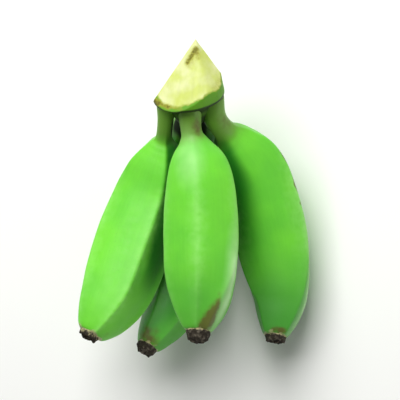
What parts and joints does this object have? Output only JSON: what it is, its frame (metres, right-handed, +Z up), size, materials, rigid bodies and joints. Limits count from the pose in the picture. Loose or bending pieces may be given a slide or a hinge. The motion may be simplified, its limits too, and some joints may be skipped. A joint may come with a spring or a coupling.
{
  "type": "bunch of bananas",
  "caption": "Cut bunch of short, plump, unripe green bananas joined at a pale knife-cut crown, lying on its fingers with the cut face up.",
  "frame": {"origin": "middle of the bunch's box in plan, on the surface that it lies on", "axes": "+Z up; +Y along the bunch, from the fingers' tips to the crown; +X to the right, seen from above with the crown away from the viewer"},
  "size_m": [0.1206, 0.1794, 0.0924],
  "materials": {
    "peel": "waxy, satin, with faint lengthwise striations",
    "crown_flesh": "knife-cut, moist and matt",
    "withered_flower": "dry, crumbly and matt"
  },
  "bodies": {
    "root": {"crown": "crown_flesh", "finger_left": "peel", "finger_centre": "peel", "finger_right": "peel", "finger_back": "peel", "flower_end_left": "withered_flower", "flower_end_centre": "withered_flower", "flower_end_right": "withered_flower", "flower_end_back": "withered_flower"}
  },
  "joints": []
}
